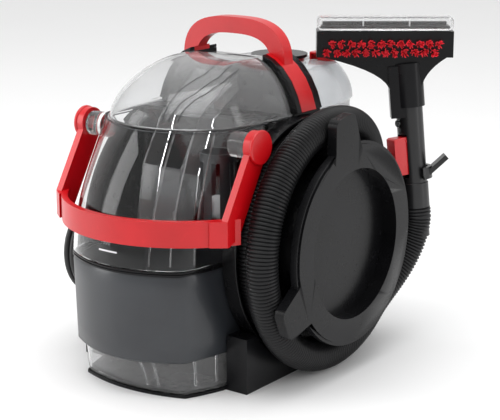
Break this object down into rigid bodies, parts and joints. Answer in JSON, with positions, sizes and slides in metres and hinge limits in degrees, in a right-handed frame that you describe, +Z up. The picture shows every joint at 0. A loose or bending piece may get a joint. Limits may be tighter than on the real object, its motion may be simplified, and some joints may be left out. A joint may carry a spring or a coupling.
{
  "type": "spot extractor",
  "caption": "Portable carpet spot extractor with clear front tank, rear water tank, carry handle, wound hose on a side spool and a parked brush tool.",
  "frame": {"origin": "centre of the underside of the base in the machine's mid-plane, on the floor, under the front part of the motor tower", "axes": "+X to the hose side, -Y to the front (recovery tank), +Z up"},
  "size_m": [0.306, 0.3587, 0.335],
  "materials": {
    "black_gloss": "glossy injection-moulded black",
    "rubber": "matt soft rubber",
    "red_plastic": "satin red plastic",
    "smoke_clear": "clear smoke-tinted plastic",
    "frost_clear": "lightly frosted clear plastic",
    "grey_satin": "satin charcoal plastic",
    "wand_plastic": "satin black plastic",
    "hose_rubber": "ribbed flexible black plastic",
    "cord_pvc": "smooth black cord sheath",
    "bristle": "red nylon tufts",
    "inner_plastic": "unpainted dark plastic",
    "white_plastic": "natural white plastic",
    "steel": "plated steel"
  },
  "bodies": {
    "chassis": {"base_pan": "black_gloss", "rubber_feet": "rubber", "housing_left": "black_gloss", "housing_right": "black_gloss", "front_rim": "black_gloss", "rear_rim": "black_gloss", "carry_handle": "red_plastic", "top_deck": "smoke_clear", "deck_vent": "black_gloss", "motor_can": "steel", "fan_housing": "inner_plastic", "water_pump": "inner_plastic", "suction_duct": "inner_plastic", "spool_shroud": "black_gloss", "spool_drum": "black_gloss", "spool_disc": "black_gloss", "hose_port": "wand_plastic", "hose_coil": "hose_rubber", "hose_bridge": "hose_rubber", "hose_tail": "hose_rubber", "cord_hook_front": "black_gloss", "cord_winding": "cord_pvc", "cord_lead": "cord_pvc", "cord_end": "cord_pvc", "cord_gland": "rubber", "mains_plug": "cord_pvc", "wand_cradle": "wand_plastic", "case_screws": "steel", "air_grille": "black_gloss", "left_cheek": "black_gloss"},
    "fan": {"fan_impeller": "white_plastic"},
    "recovery_tank": {"tank_foot": "smoke_clear", "tank_band": "grey_satin", "tank_seam": "black_gloss", "tank_bowl": "smoke_clear", "tank_lid": "smoke_clear", "lid_seal": "rubber", "separator_duct": "smoke_clear", "float_cage": "inner_plastic", "bail_pivots": "smoke_clear"},
    "float": {"float_ball": "white_plastic"},
    "bail": {"bail": "red_plastic", "bail_caps": "red_plastic"},
    "clean_water_tank": {"clean_tank": "frost_clear", "clean_base": "inner_plastic", "fill_seal": "red_plastic", "cap_latch": "red_plastic"},
    "cap": {"fill_cap": "black_gloss"},
    "valve": {"valve_plunger": "white_plastic"},
    "cord_hook": {"cord_hook_rear": "black_gloss"},
    "button": {"power_button": "red_plastic"},
    "wand": {"hose_cuff": "wand_plastic", "wand_tube": "wand_plastic", "wand_lock": "wand_plastic"},
    "trigger": {"spray_trigger": "red_plastic"},
    "tool": {"tool_body": "black_gloss", "tool_window": "smoke_clear", "tool_bristles": "bristle"}
  },
  "joints": [
    {"name": "fan_spin", "type": "hinge", "parent": "chassis", "child": "fan", "pos_m": [0, 0.046, 0.19], "axis": [0, 0, 1], "continuous": true},
    {"name": "recovery_tank_lift", "type": "slide", "parent": "chassis", "child": "recovery_tank", "axis": [0, 0, 1], "range_m": [0, 0.26]},
    {"name": "float_rise", "type": "slide", "parent": "recovery_tank", "child": "float", "axis": [0, 0, 1], "range_m": [0, 0.035]},
    {"name": "bail_swing", "type": "hinge", "parent": "recovery_tank", "child": "bail", "pos_m": [0, -0.047, 0.2345], "axis": [-1, 0, 0], "range_deg": [0, 125]},
    {"name": "clean_tank_pull", "type": "slide", "parent": "chassis", "child": "clean_water_tank", "axis": [0, 1, 0], "range_m": [0, 0.12]},
    {"name": "cap_swing", "type": "hinge", "parent": "clean_water_tank", "child": "cap", "pos_m": [0, 0.103, 0.2887], "axis": [1, 0, 0], "range_deg": [0, 95]},
    {"name": "valve_press", "type": "slide", "parent": "clean_water_tank", "child": "valve", "axis": [0, 0, 1], "range_m": [0, 0.004], "stiffness_N_per_m": 250},
    {"name": "cord_hook_turn", "type": "hinge", "parent": "chassis", "child": "cord_hook", "pos_m": [-0.11, 0.0697, 0.097], "axis": [1, 0, 0], "range_deg": [-90, 90]},
    {"name": "button_press", "type": "slide", "parent": "chassis", "child": "button", "axis": [1, 0, 0], "range_m": [0, 0.003], "stiffness_N_per_m": 400},
    {"name": "wand_lift", "type": "slide", "parent": "chassis", "child": "wand", "axis": [-0.1045, 0, 0.9945], "range_m": [0, 0.022]},
    {"name": "trigger_pull", "type": "hinge", "parent": "wand", "child": "trigger", "pos_m": [0.126, 0.16995, 0.2073], "axis": [0.9085, -0.4067, 0.0955], "range_deg": [0, 8], "stiffness_Nm_per_rad": 1.2},
    {"name": "tool_pull", "type": "slide", "parent": "wand", "child": "tool", "axis": [-0.1045, 0, 0.9945], "range_m": [0, 0.06]}
  ]
}
